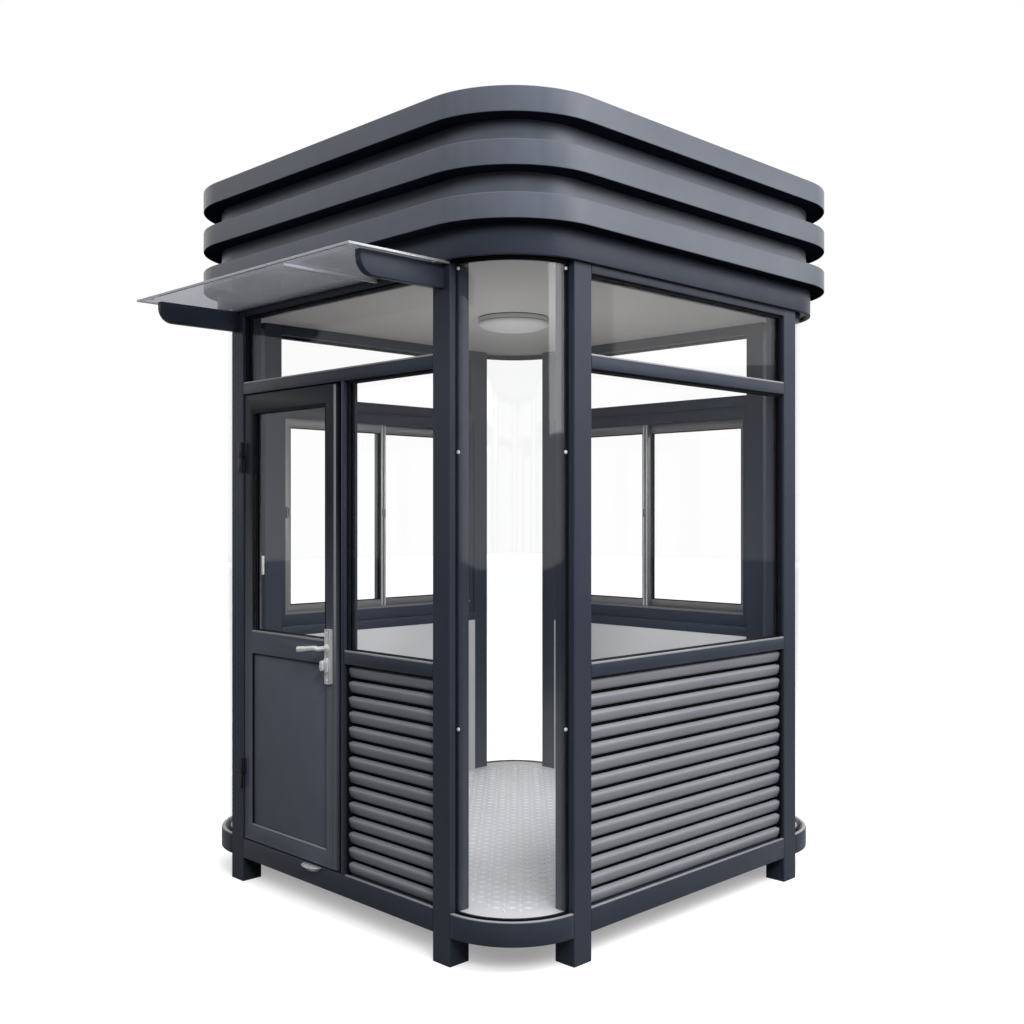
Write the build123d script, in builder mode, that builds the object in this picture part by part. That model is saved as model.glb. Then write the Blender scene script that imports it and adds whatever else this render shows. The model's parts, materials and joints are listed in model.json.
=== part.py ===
"""Security guard booth: a square hut with rounded glazed corners, louvred lower walls and a finned roof.

Millimetres. The origin is on the ground under the middle of the booth, +Z is up and the door is on the
-Y side. A piece of one wall is drawn on the front wall and turned about Z: 90 degrees to the right wall,
180 to the back wall and 270 to the left wall.
"""
import os
from math import atan2, degrees

from build123d import *

# Plan
WALL_FACE = 1000.0       # from the middle of the booth to the outer face of its walls
CORNER_RADIUS = 300.0    # of the rounded corners, at the wall's outer face
POST_SIDE = 90.0         # square post, and the depth of the rails
POST_ROUND = 4.0         # rounding along the posts' edges

# Heights above the ground
LEG_HEIGHT = 100.0
BASE_HEIGHT = 80.0
SILL_TOP = 1025.0
TRANSOM_TOP = 2095.0
FASCIA_BOTTOM = 2410.0
RAIL_HEIGHT = 45.0
RAIL_SHOWN = 30.0        # part of the top rail that shows under the fascia

# Floor
FLOOR_THICK = 30.0
BEARER_WIDTH = 60.0
BEARER_COUNT = 3
CURVE_GAP = 0.3          # between curved faces that meet

# Louvres
SLAT_COUNT = 14
SLAT_THICK = 8.0
SLAT_RISE = 28.0         # from the centre of a slat's nose to that of its back edge
SLAT_DEPTH = 22.0
SLAT_INSET = 24.0        # from the wall's face to the centre of a slat's nose
SLAT_FOOT = 10.0         # from the bottom of a slat's pitch to the centre of its nose
STILE_WIDTH = 10.0
STILE_DEPTH = 50.0
LINING_THICK = 12.0

# Glass
GLASS_THICK = 8.0
GLASS_INSET = 24.0       # from the wall's face to the outside of the glass
CORNER_INSET = 28.0      # from the rounded corner's face to the outside of its glass

# Door
DOOR_WIDTH = 647.0
DOOR_THICK = 45.0
DOOR_INSET = 5.0         # from the wall's face to the door's outer face
DOOR_GAP = 5.0           # round the leaf
LOCK_GAP = 8.5           # at the lock edge, which swings out as it turns
HINGE_STILE = 57.0       # the leaf's upright members
LOCK_STILE = 65.0
DOOR_TOP_RAIL = 70.0
DOOR_BOTTOM_RAIL = 65.0
DOOR_MID_RAIL = 87.0
DOOR_PANEL_HEIGHT = 718.0
DOOR_PANEL_THICK = 25.0
DOOR_GLASS_THICK = 8.0
MULLION_WIDTH = 48.5
MULLION_DEPTH = 64.0
REBATE_WIDTH = 29.5      # of the mullion's step beside the leaf
REBATE_DEPTH = 25.0
STOP_WIDTH = 20.0
STOP_DEPTH = 20.0

# Door furniture
PLATE_WIDTH = 33.0
PLATE_HEIGHT = 210.0
PLATE_THICK = 15.0
PLATE_EDGE = 22.5        # from the plate to the leaf's lock edge
LEVER_HEIGHT = 1033.0
PLATE_BELOW_LEVER = 138.0
CYLINDER_DROP = 66.0     # from the lever down to the key cylinder's guard
CYLINDER_WIDTH = 22.0
CYLINDER_TALL = 40.0
CYLINDER_LENGTH = 30.0
NECK_RADIUS = 9.0
NECK_LENGTH = 56.0
GRIP_LENGTH = 127.0
GRIP_RADIUS = 8.0
SPINDLE_GAP = 0.08
LEVER_GAP = 0.5          # between the lever's neck and the plate

# Hinges
HINGE_HEIGHTS = (395.0, 1722.0)
HINGE_LENGTH = 126.0
HINGE_RADIUS = 10.0
HINGE_PIN_RADIUS = 5.0
HINGE_PIN_GAP = 0.06
HINGE_LIFT = 0.3         # between the fixed and the moving knuckle
HINGE_OUT = 12.0         # from the wall's face to the hinge's axis
HINGE_FLAP = 16.0
HINGE_FLAP_THICK = 2.5

# Sliding windows
FRAME_SIDE = 26.0        # the frame's uprights
FRAME_RAIL = 54.0        # and its head and foot
FRAME_DEPTH = 70.0
SASH_SIDE = 32.0
SASH_RAIL = 42.0
SASH_DEPTH = 24.0
SASH_APART = 4.0
PANE_THICK = 6.0

# Roof
FASCIA_HEIGHT = 103.0
FASCIA_THICK = 18.0
FIN_HEIGHT = 87.0
FIN_GAP = 87.0
FIN_REACH = 77.0         # from the wall's face to the fins' outer face
FIN_COUNT = 3
FIN_ROUND = 4.0          # along the fins' outer edges
CEILING_THICK = 12.0
DECK_THICK = 20.0
DECK_DROP = 30.0         # from the upper fin's top down to the deck's
LAMP_RADIUS = 157.0
LAMP_THICK = 28.0
LAMP_X = -25.0
LAMP_Y = 25.0

# Awning over the door
AWNING_REACH = 424.0
AWNING_THICK = 5.0
AWNING_LAP = 15.0        # past the outer side of the post on the hinge side
BRACKET_WIDTH = 30.0
BRACKET_REACH = 356.0
BRACKET_DEPTH = 82.0
BRACKET_FLAT = 296.0     # straight part of the bracket's lower edge
AWNING_DROP = 9.0        # from the fascia's lower edge down to the brackets' tops
RIB_X = 300.0            # from the middle of the door's wall
RIB_REACH = 405.0
RIB_WIDTH = 10.0
RIB_HEIGHT = 12.0

# Small pieces
SWITCH_WIDTH = 40.0
SWITCH_TALL = 86.0
SWITCH_THICK = 11.0
SWITCH_MIDDLE = 1313.0
SWITCH_EDGE = 6.0        # from the post's inner face
CATCH_X = -100.0
CATCH_LENGTH = 115.0
CATCH_THICK = 18.0
CATCH_REACH = 42.0
CATCH_TOP_GAP = 2.0      # from the catch to the floor's level

# Places worked out from the sizes above
POST_OUT = WALL_FACE - CORNER_RADIUS
POST_IN = POST_OUT - POST_SIDE
INNER_FACE = WALL_FACE - POST_SIDE
BASE_TOP = LEG_HEIGHT + BASE_HEIGHT
SILL_BOTTOM = SILL_TOP - RAIL_HEIGHT
TRANSOM_BOTTOM = TRANSOM_TOP - RAIL_HEIGHT
TOP_RAIL_BOTTOM = FASCIA_BOTTOM - RAIL_SHOWN
TOP_RAIL_TOP = TOP_RAIL_BOTTOM + RAIL_HEIGHT
CEILING_TOP = TOP_RAIL_TOP + CEILING_THICK
FASCIA_TOP = FASCIA_BOTTOM + FASCIA_HEIGHT
ROOF_TOP = FASCIA_TOP + FIN_COUNT * FIN_HEIGHT + (FIN_COUNT - 1) * FIN_GAP
CORNER_OUT = WALL_FACE - CORNER_INSET
CORNER_IN = CORNER_OUT - GLASS_THICK
AWNING_BOTTOM = FASCIA_BOTTOM - AWNING_DROP
AWNING_EDGES = (-POST_OUT - AWNING_LAP, POST_OUT)
SLAT_PITCH = (SILL_BOTTOM - BASE_TOP) / SLAT_COUNT
SASH_BOTTOM = SILL_TOP + FRAME_RAIL
SASH_TOP = TRANSOM_BOTTOM - FRAME_RAIL
PANE_BOTTOM = SASH_BOTTOM + SASH_RAIL
PANE_TOP = SASH_TOP - SASH_RAIL

DOOR_LEFT = -POST_IN + DOOR_GAP
DOOR_RIGHT = DOOR_LEFT + DOOR_WIDTH
DOOR_BOTTOM = BASE_TOP + DOOR_GAP
DOOR_TOP = TRANSOM_BOTTOM - DOOR_GAP
DOOR_FRONT = -WALL_FACE + DOOR_INSET
DOOR_BACK = DOOR_FRONT + DOOR_THICK
DOOR_MIDDLE = (DOOR_FRONT + DOOR_BACK) / 2
MULLION_LEFT = DOOR_RIGHT + LOCK_GAP
MULLION_RIGHT = MULLION_LEFT + MULLION_WIDTH
PANEL_BOTTOM = DOOR_BOTTOM + DOOR_BOTTOM_RAIL
PANEL_TOP = PANEL_BOTTOM + DOOR_PANEL_HEIGHT
DOOR_GLASS_BOTTOM = PANEL_TOP + DOOR_MID_RAIL
DOOR_GLASS_TOP = DOOR_TOP - DOOR_TOP_RAIL
STOP_FRONT = DOOR_BACK + DOOR_GAP
STOP_BACK = STOP_FRONT + STOP_DEPTH
LEAF_OPENING = (DOOR_LEFT + HINGE_STILE, DOOR_RIGHT - LOCK_STILE)

PLATE_RIGHT = DOOR_RIGHT - PLATE_EDGE
PLATE_X = PLATE_RIGHT - PLATE_WIDTH / 2
PLATE_BOTTOM = LEVER_HEIGHT - PLATE_BELOW_LEVER
HINGE_X = -POST_IN + DOOR_GAP / 2
HINGE_Y = -WALL_FACE - HINGE_OUT

WALL_TURNS = (0, 90, 180, 270)
WHOLE_BAY = (-POST_IN, POST_IN)
SIDE_BAY = (MULLION_RIGHT, POST_IN)


def block(x, y, z, mode=Mode.ADD):
    """A box between pairs of coordinates, in the sub-part being built."""
    with Locations(((x[0] + x[1]) / 2, (y[0] + y[1]) / 2, (z[0] + z[1]) / 2)):
        Box(x[1] - x[0], y[1] - y[0], z[1] - z[0], mode=mode)


def wall_block(turn, x, depth, z, mode=Mode.ADD):
    """A box in a wall: depth counts inwards from the wall's outer face."""
    with Locations(Location((0, 0, 0), (0, 0, turn))):
        block(x, (-WALL_FACE + depth[0], -WALL_FACE + depth[1]), z, mode)


def wall_side(turn, x):
    """The plane across a wall at x: its own x runs inwards and its y upwards."""
    return Plane(Location((0, 0, 0), (0, 0, turn)) * Plane.YZ.offset(x).location)


def round_square(face, mode=Mode.ADD):
    """A square with the booth's rounded corners, out to the given face."""
    RectangleRounded(2 * face, 2 * face, face - POST_OUT, mode=mode)


def keep_corners(face):
    """Cuts the straight sides out of a ring and leaves its four corners."""
    Rectangle(2 * POST_OUT, 3 * face, mode=Mode.SUBTRACT)
    Rectangle(3 * face, 2 * POST_OUT, mode=Mode.SUBTRACT)


def save(piece, name):
    """Labels a finished sub-part and writes it."""
    piece.part.label = name
    export_step(piece.part, "parts/" + name + ".step")


def make_posts(turn, name):
    """The two posts of one wall, from the ground to the ceiling."""
    with BuildPart() as posts:
        for side in (-1, 1):
            edges = sorted((side * POST_IN, side * POST_OUT))
            wall_block(turn, edges, (0, POST_SIDE), (0, TOP_RAIL_TOP))
        fillet(posts.edges().filter_by(Axis.Z), POST_ROUND)
    save(posts, name)


def make_base_beams():
    with BuildPart() as beams:
        for turn in WALL_TURNS:
            wall_block(turn, WHOLE_BAY, (0, POST_SIDE), (LEG_HEIGHT, BASE_TOP))
    save(beams, "base_beams")


def make_base_corners():
    with BuildPart() as corners:
        with BuildSketch(Plane.XY.offset(LEG_HEIGHT)):
            round_square(WALL_FACE)
            round_square(INNER_FACE, Mode.SUBTRACT)
            keep_corners(WALL_FACE)
        extrude(amount=BASE_HEIGHT)
    save(corners, "base_corners")


def make_sill_rails():
    with BuildPart() as rails:
        wall_block(0, SIDE_BAY, (0, POST_SIDE), (SILL_BOTTOM, SILL_TOP))
        for turn in WALL_TURNS[1:]:
            wall_block(turn, WHOLE_BAY, (0, POST_SIDE), (SILL_BOTTOM, SILL_TOP))
    save(rails, "sill_rails")


def make_transom_rails():
    with BuildPart() as rails:
        for turn in WALL_TURNS:
            wall_block(turn, WHOLE_BAY, (0, POST_SIDE), (TRANSOM_BOTTOM, TRANSOM_TOP))
    save(rails, "transom_rails")


def make_top_rails():
    with BuildPart() as rails:
        for turn in WALL_TURNS:
            wall_block(turn, WHOLE_BAY, (0, POST_SIDE), (TOP_RAIL_BOTTOM, TOP_RAIL_TOP))
    save(rails, "top_rails")


def make_mullion():
    """The upright between the door and the side window, stepped back beside the leaf."""
    rebate = (MULLION_LEFT, MULLION_LEFT + REBATE_WIDTH)
    with BuildPart() as mullion:
        wall_block(0, (MULLION_LEFT, MULLION_RIGHT), (0, MULLION_DEPTH), (BASE_TOP, TRANSOM_BOTTOM))
        wall_block(0, rebate, (0, REBATE_DEPTH), (BASE_TOP, TRANSOM_BOTTOM), Mode.SUBTRACT)
    save(mullion, "mullion")


def make_door_stop():
    """The strip that the closed leaf comes up to on three sides."""
    depth = (STOP_FRONT, STOP_BACK)
    inner_right = MULLION_LEFT - STOP_WIDTH
    inner_left = -POST_IN + STOP_WIDTH
    with BuildPart() as door_stop:
        block((-POST_IN, MULLION_LEFT), depth, (BASE_TOP, TRANSOM_BOTTOM))
        block((inner_left, inner_right), depth, (BASE_TOP, TRANSOM_BOTTOM - STOP_WIDTH), Mode.SUBTRACT)
    save(door_stop, "door_stop")


def make_floor_plate():
    with BuildPart() as floor_plate:
        with BuildSketch(Plane.XY.offset(BASE_TOP - FLOOR_THICK)):
            round_square(INNER_FACE - CURVE_GAP)
        extrude(amount=FLOOR_THICK)
    save(floor_plate, "floor_plate")


def make_floor_bearers():
    spacing = 2 * POST_IN / (BEARER_COUNT + 1)
    with BuildPart() as bearers:
        for number in range(BEARER_COUNT):
            middle = -POST_IN + spacing * (number + 1)
            edges = (middle - BEARER_WIDTH / 2, middle + BEARER_WIDTH / 2)
            block(edges, (-INNER_FACE, INNER_FACE), (LEG_HEIGHT, BASE_TOP - FLOOR_THICK))
    save(bearers, "floor_bearers")


def make_louvre(turn, bay, name):
    """Slats between two stiles, sloping down and out, under one window."""
    nose = -WALL_FACE + SLAT_INSET
    back = nose + SLAT_DEPTH
    blade = Vector(SLAT_DEPTH, SLAT_RISE)
    slope = degrees(atan2(SLAT_RISE, SLAT_DEPTH))
    with BuildPart() as louvre:
        with BuildSketch(wall_side(turn, bay[0])):
            for number in range(SLAT_COUNT):
                foot = BASE_TOP + number * SLAT_PITCH + SLAT_FOOT
                with Locations(((nose + back) / 2, foot + SLAT_RISE / 2)):
                    SlotCenterToCenter(blade.length, SLAT_THICK, rotation=slope)
        extrude(amount=bay[1] - bay[0])
        for edge, inward in ((bay[0], 1), (bay[1], -1)):
            edges = sorted((edge, edge + inward * STILE_WIDTH))
            wall_block(turn, edges, (SLAT_INSET, SLAT_INSET + STILE_DEPTH), (BASE_TOP, SILL_BOTTOM))
    save(louvre, name)


def make_wall_linings():
    """The panels inside the louvres, up to the sill rails."""
    depth = (POST_SIDE - LINING_THICK, POST_SIDE)
    with BuildPart() as linings:
        wall_block(0, SIDE_BAY, depth, (BASE_TOP, SILL_BOTTOM))
        for turn in WALL_TURNS[1:]:
            wall_block(turn, WHOLE_BAY, depth, (BASE_TOP, SILL_BOTTOM))
    save(linings, "wall_linings")


def make_clerestory_glass():
    depth = (GLASS_INSET, GLASS_INSET + GLASS_THICK)
    with BuildPart() as glass:
        for turn in WALL_TURNS:
            wall_block(turn, WHOLE_BAY, depth, (TRANSOM_TOP, TOP_RAIL_BOTTOM))
    save(glass, "clerestory_glass")


def make_window_glass(turn, bay, name):
    depth = (GLASS_INSET, GLASS_INSET + GLASS_THICK)
    with BuildPart() as glass:
        wall_block(turn, bay, depth, (SILL_TOP, TRANSOM_BOTTOM))
    save(glass, name)


def make_corner_glass(side_x, side_y, name):
    """A quarter round of bent glass between two posts, from the base to the ceiling."""
    with BuildPart() as glass:
        with BuildSketch(Plane.XY.offset(BASE_TOP)):
            round_square(CORNER_OUT)
            round_square(CORNER_IN, Mode.SUBTRACT)
            with Locations((side_x * WALL_FACE, side_y * WALL_FACE)):
                Rectangle(2 * CORNER_RADIUS, 2 * CORNER_RADIUS, mode=Mode.INTERSECT)
        extrude(amount=TOP_RAIL_TOP - BASE_TOP)
    save(glass, name)


def make_window_frame(turn, name):
    """The fixed frame of a two-panel sliding window."""
    depth = ((POST_SIDE - FRAME_DEPTH) / 2, (POST_SIDE + FRAME_DEPTH) / 2)
    opening = (-POST_IN + FRAME_SIDE, POST_IN - FRAME_SIDE)
    with BuildPart() as frame:
        wall_block(turn, WHOLE_BAY, depth, (SILL_TOP, TRANSOM_BOTTOM))
        wall_block(turn, opening, depth, (SASH_BOTTOM, SASH_TOP), Mode.SUBTRACT)
    save(frame, name)


def sash_places():
    """Each sash's reach along the wall and its depth: the two overlap by a stile at the middle."""
    edge = POST_IN - FRAME_SIDE
    outer = (POST_SIDE - SASH_APART) / 2 - SASH_DEPTH
    inner = (POST_SIDE + SASH_APART) / 2
    return (
        ((-edge, SASH_SIDE / 2), (outer, outer + SASH_DEPTH)),
        ((-SASH_SIDE / 2, edge), (inner, inner + SASH_DEPTH)),
    )


def make_window_sashes(turn, name):
    """Two framed panels, one on each track."""
    with BuildPart() as sashes:
        for reach, depth in sash_places():
            inside = (reach[0] + SASH_SIDE, reach[1] - SASH_SIDE)
            wall_block(turn, reach, depth, (SASH_BOTTOM, SASH_TOP))
            wall_block(turn, inside, depth, (PANE_BOTTOM, PANE_TOP), Mode.SUBTRACT)
    save(sashes, name)


def make_window_panes(turn, name):
    with BuildPart() as panes:
        for reach, depth in sash_places():
            middle = (depth[0] + depth[1]) / 2
            inside = (reach[0] + SASH_SIDE, reach[1] - SASH_SIDE)
            thickness = (middle - PANE_THICK / 2, middle + PANE_THICK / 2)
            wall_block(turn, inside, thickness, (PANE_BOTTOM, PANE_TOP))
    save(panes, name)


def make_ceiling():
    """The panel that lies on the posts and the top rails."""
    with BuildPart() as ceiling:
        with BuildSketch(Plane.XY.offset(TOP_RAIL_TOP)):
            round_square(WALL_FACE - CURVE_GAP)
        extrude(amount=CEILING_THICK)
    save(ceiling, "ceiling")


def make_ceiling_lamp():
    with BuildPart() as lamp:
        with BuildSketch(Plane.XY.offset(TOP_RAIL_TOP - LAMP_THICK)):
            with Locations((LAMP_X, LAMP_Y)):
                Circle(LAMP_RADIUS)
        extrude(amount=LAMP_THICK)
        fillet(lamp.edges().group_by(Axis.Z)[0], LAMP_THICK / 3)
    save(lamp, "ceiling_lamp")


def make_fascia():
    """The band round the tops of the posts and the edge of the ceiling."""
    with BuildPart() as fascia:
        with BuildSketch(Plane.XY.offset(FASCIA_BOTTOM)):
            round_square(WALL_FACE + FASCIA_THICK)
            round_square(WALL_FACE, Mode.SUBTRACT)
        extrude(amount=FASCIA_HEIGHT)
    save(fascia, "fascia")


def make_roof_frame():
    """The roof's core wall, standing on the ceiling and carrying the fins and the deck."""
    with BuildPart() as roof_frame:
        with BuildSketch(Plane.XY.offset(CEILING_TOP)):
            round_square(WALL_FACE - CURVE_GAP)
            round_square(INNER_FACE, Mode.SUBTRACT)
        extrude(amount=ROOF_TOP - DECK_DROP - DECK_THICK - CEILING_TOP)
    save(roof_frame, "roof_frame")


def make_roof_fins():
    """Three bands one above the other round the roof."""
    with BuildPart() as fins:
        for number in range(FIN_COUNT):
            bottom = FASCIA_TOP + number * (FIN_HEIGHT + FIN_GAP)
            with BuildSketch(Plane.XY.offset(bottom)):
                round_square(WALL_FACE + FIN_REACH)
                round_square(WALL_FACE, Mode.SUBTRACT)
            extrude(amount=FIN_HEIGHT)
        for face in fins.faces().filter_by(Axis.Z):
            fillet(face.outer_wire().edges(), FIN_ROUND)
    save(fins, "roof_fins")


def make_roof_deck():
    """The flat roof, a little below the top of the upper fin."""
    with BuildPart() as deck:
        with BuildSketch(Plane.XY.offset(ROOF_TOP - DECK_DROP - DECK_THICK)):
            round_square(WALL_FACE - CURVE_GAP)
        extrude(amount=DECK_THICK)
    save(deck, "roof_deck")


def make_awning_brackets():
    """Two flat arms on the front posts, with their lower edges curved up to the tips."""
    top = AWNING_BOTTOM
    bottom = top - BRACKET_DEPTH
    tip = BRACKET_DEPTH / 4
    with BuildPart() as brackets:
        for side in (-1, 1):
            middle = side * (POST_IN + POST_OUT) / 2
            with BuildSketch(Plane.YZ.offset(middle)):
                with BuildLine():
                    Polyline((-WALL_FACE - BRACKET_FLAT, bottom), (-WALL_FACE, bottom), (-WALL_FACE, top),
                             (-WALL_FACE - BRACKET_REACH, top), (-WALL_FACE - BRACKET_REACH, top - tip))
                    TangentArc((-WALL_FACE - BRACKET_FLAT, bottom), (-WALL_FACE - BRACKET_REACH, top - tip),
                               tangent=(-1, 0))
                make_face()
            extrude(amount=BRACKET_WIDTH / 2, both=True)
    save(brackets, "awning_brackets")


def make_awning_sheet():
    """The clear sheet that lies on the brackets and the rib, under the fascia."""
    with BuildPart() as sheet:
        block(AWNING_EDGES, (-WALL_FACE - AWNING_REACH, -WALL_FACE),
              (AWNING_BOTTOM, AWNING_BOTTOM + AWNING_THICK))
    save(sheet, "awning_sheet")


def make_awning_rib():
    """The flat bar that stiffens the sheet from below."""
    with BuildPart() as rib:
        block((RIB_X - RIB_WIDTH / 2, RIB_X + RIB_WIDTH / 2), (-WALL_FACE - RIB_REACH, -WALL_FACE),
              (AWNING_BOTTOM - RIB_HEIGHT, AWNING_BOTTOM))
    save(rib, "awning_rib")


def make_door_leaf():
    """The leaf's frame, with a glazed opening above and a panelled one below."""
    depth = (DOOR_FRONT, DOOR_BACK)
    with BuildPart() as leaf:
        block((DOOR_LEFT, DOOR_RIGHT), depth, (DOOR_BOTTOM, DOOR_TOP))
        block(LEAF_OPENING, depth, (PANEL_BOTTOM, PANEL_TOP), Mode.SUBTRACT)
        block(LEAF_OPENING, depth, (DOOR_GLASS_BOTTOM, DOOR_GLASS_TOP), Mode.SUBTRACT)
        with Locations(Location((PLATE_X, DOOR_MIDDLE, LEVER_HEIGHT), (90, 0, 0))):
            Cylinder(NECK_RADIUS + LEVER_GAP, 2 * DOOR_THICK, mode=Mode.SUBTRACT)
    save(leaf, "door_leaf")


def make_door_panel():
    with BuildPart() as panel:
        block(LEAF_OPENING, (DOOR_MIDDLE - DOOR_PANEL_THICK / 2, DOOR_MIDDLE + DOOR_PANEL_THICK / 2),
              (PANEL_BOTTOM, PANEL_TOP))
    save(panel, "door_panel")


def make_door_glass():
    with BuildPart() as glass:
        block(LEAF_OPENING, (DOOR_MIDDLE - DOOR_GLASS_THICK / 2, DOOR_MIDDLE + DOOR_GLASS_THICK / 2),
              (DOOR_GLASS_BOTTOM, DOOR_GLASS_TOP))
    save(glass, "door_glass")


def make_lock_plates():
    """The plates on both faces of the leaf, each with the guard of its key cylinder."""
    cylinder_height = LEVER_HEIGHT - CYLINDER_DROP
    with BuildPart() as plates:
        for face, outward in ((DOOR_FRONT, -1), (DOOR_BACK, 1)):
            depth = sorted((face, face + outward * PLATE_THICK))
            block((PLATE_RIGHT - PLATE_WIDTH, PLATE_RIGHT), depth,
                  (PLATE_BOTTOM, PLATE_BOTTOM + PLATE_HEIGHT))
            guard = Plane(origin=(PLATE_X, face, cylinder_height), x_dir=(0, 0, 1), z_dir=(0, outward, 0))
            with BuildSketch(guard):
                SlotOverall(CYLINDER_TALL, CYLINDER_WIDTH)
            extrude(amount=PLATE_THICK + CYLINDER_LENGTH)
        with Locations(Location((PLATE_X, DOOR_MIDDLE, LEVER_HEIGHT), (90, 0, 0))):
            Cylinder(NECK_RADIUS + SPINDLE_GAP, 2 * DOOR_THICK, mode=Mode.SUBTRACT)
    save(plates, "lock_plates")


def make_lever_handle():
    """The lever on each face, with the spindle that joins them through the leaf."""
    out = PLATE_THICK + NECK_LENGTH
    with BuildPart() as lever:
        with Locations(Location((PLATE_X, DOOR_MIDDLE, LEVER_HEIGHT), (90, 0, 0))):
            Cylinder(NECK_RADIUS, DOOR_THICK + 2 * out)
        for face, outward in ((DOOR_FRONT, -1), (DOOR_BACK, 1)):
            grip_y = face + outward * (out - GRIP_RADIUS)
            with Locations(Location((PLATE_X - GRIP_LENGTH / 2, grip_y, LEVER_HEIGHT), (0, 90, 0))):
                Cylinder(GRIP_RADIUS, GRIP_LENGTH)
            with Locations((PLATE_X - GRIP_LENGTH, grip_y, LEVER_HEIGHT)):
                Sphere(GRIP_RADIUS)
    save(lever, "lever_handle")


def make_hinge_fixed():
    """On the post: a flap, the lower knuckle and the pin that stands up from it."""
    half = HINGE_LENGTH / 2
    with BuildPart() as hinge:
        for bottom in HINGE_HEIGHTS:
            with Locations((HINGE_X, HINGE_Y, bottom)):
                Cylinder(HINGE_RADIUS, half, align=(Align.CENTER, Align.CENTER, Align.MIN))
                Cylinder(HINGE_PIN_RADIUS, HINGE_LENGTH - HINGE_RADIUS,
                         align=(Align.CENTER, Align.CENTER, Align.MIN))
            block((-POST_IN - HINGE_FLAP, -POST_IN - POST_ROUND),
                  (-WALL_FACE - HINGE_FLAP_THICK, -WALL_FACE), (bottom, bottom + HINGE_LENGTH))
            block((-POST_IN - HINGE_RADIUS, HINGE_X),
                  (HINGE_Y, -WALL_FACE - HINGE_FLAP_THICK / 2), (bottom, bottom + half))
    save(hinge, "hinge_posts")


def make_hinge_moving():
    """On the leaf: a flap and the upper knuckle, bored for the pin."""
    half = HINGE_LENGTH / 2
    flap_back = DOOR_FRONT
    with BuildPart() as hinge:
        for bottom in HINGE_HEIGHTS:
            with Locations((HINGE_X, HINGE_Y, bottom + half + HINGE_LIFT)):
                Cylinder(HINGE_RADIUS, half - HINGE_LIFT, align=(Align.CENTER, Align.CENTER, Align.MIN))
            block((HINGE_X, DOOR_LEFT + HINGE_RADIUS),
                  (HINGE_Y, flap_back), (bottom + half + HINGE_LIFT, bottom + HINGE_LENGTH))
            block((DOOR_LEFT + DOOR_GAP / 2, DOOR_LEFT + HINGE_FLAP),
                  (flap_back - HINGE_FLAP_THICK, flap_back),
                  (bottom + half + HINGE_LIFT, bottom + HINGE_LENGTH))
            with Locations((HINGE_X, HINGE_Y, bottom)):
                Cylinder(HINGE_PIN_RADIUS + HINGE_PIN_GAP, HINGE_LENGTH - HINGE_RADIUS + HINGE_LIFT,
                         align=(Align.CENTER, Align.CENTER, Align.MIN), mode=Mode.SUBTRACT)
    save(hinge, "hinge_leaves")


def make_light_switch():
    """A narrow switch on the left wall's front post, on the side towards the corner glass."""
    edge = -INNER_FACE - SWITCH_EDGE
    with BuildPart() as switch:
        block((edge - SWITCH_WIDTH, edge), (-POST_OUT - SWITCH_THICK, -POST_OUT),
              (SWITCH_MIDDLE - SWITCH_TALL / 2, SWITCH_MIDDLE + SWITCH_TALL / 2))
        fillet(switch.faces().sort_by(Axis.Y)[0].edges(), SWITCH_THICK / 4)
    save(switch, "light_switch")


def make_door_catch():
    """The oval pad on the base beam below the door."""
    top = BASE_TOP - CATCH_TOP_GAP
    with BuildPart() as catch:
        with BuildSketch(Plane.XY.offset(top - CATCH_THICK)):
            with Locations((CATCH_X, -WALL_FACE)):
                Ellipse(CATCH_LENGTH / 2, CATCH_REACH)
                with Locations((0, CATCH_REACH)):
                    Rectangle(CATCH_LENGTH * 2, 2 * CATCH_REACH, mode=Mode.SUBTRACT)
        extrude(amount=CATCH_THICK)
    save(catch, "door_catch")


def make_booth():
    os.makedirs("parts", exist_ok=True)
    for turn, wall in zip(WALL_TURNS, ("front", "right", "back", "left")):
        make_posts(turn, wall + "_posts")
    make_base_beams()
    make_base_corners()
    make_sill_rails()
    make_transom_rails()
    make_top_rails()
    make_mullion()
    make_door_stop()
    make_floor_plate()
    make_floor_bearers()
    make_louvre(0, SIDE_BAY, "front_louvre")
    for turn, wall in zip(WALL_TURNS[1:], ("right", "back", "left")):
        make_louvre(turn, WHOLE_BAY, wall + "_louvre")
    make_wall_linings()
    make_clerestory_glass()
    make_window_glass(0, SIDE_BAY, "side_window_glass")
    make_window_glass(90, WHOLE_BAY, "right_window_glass")
    for turn, wall in zip(WALL_TURNS[2:], ("back", "left")):
        make_window_frame(turn, wall + "_window_frame")
        make_window_sashes(turn, wall + "_window_sashes")
        make_window_panes(turn, wall + "_window_panes")
    for side_x, side_y, corner in ((-1, -1, "front_left"), (1, -1, "front_right"),
                                   (1, 1, "back_right"), (-1, 1, "back_left")):
        make_corner_glass(side_x, side_y, corner + "_corner_glass")
    make_ceiling()
    make_ceiling_lamp()
    make_fascia()
    make_roof_frame()
    make_roof_fins()
    make_roof_deck()
    make_awning_brackets()
    make_awning_sheet()
    make_awning_rib()
    make_door_leaf()
    make_door_panel()
    make_door_glass()
    make_lock_plates()
    make_lever_handle()
    make_hinge_fixed()
    make_hinge_moving()
    make_light_switch()
    make_door_catch()


make_booth()
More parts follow.
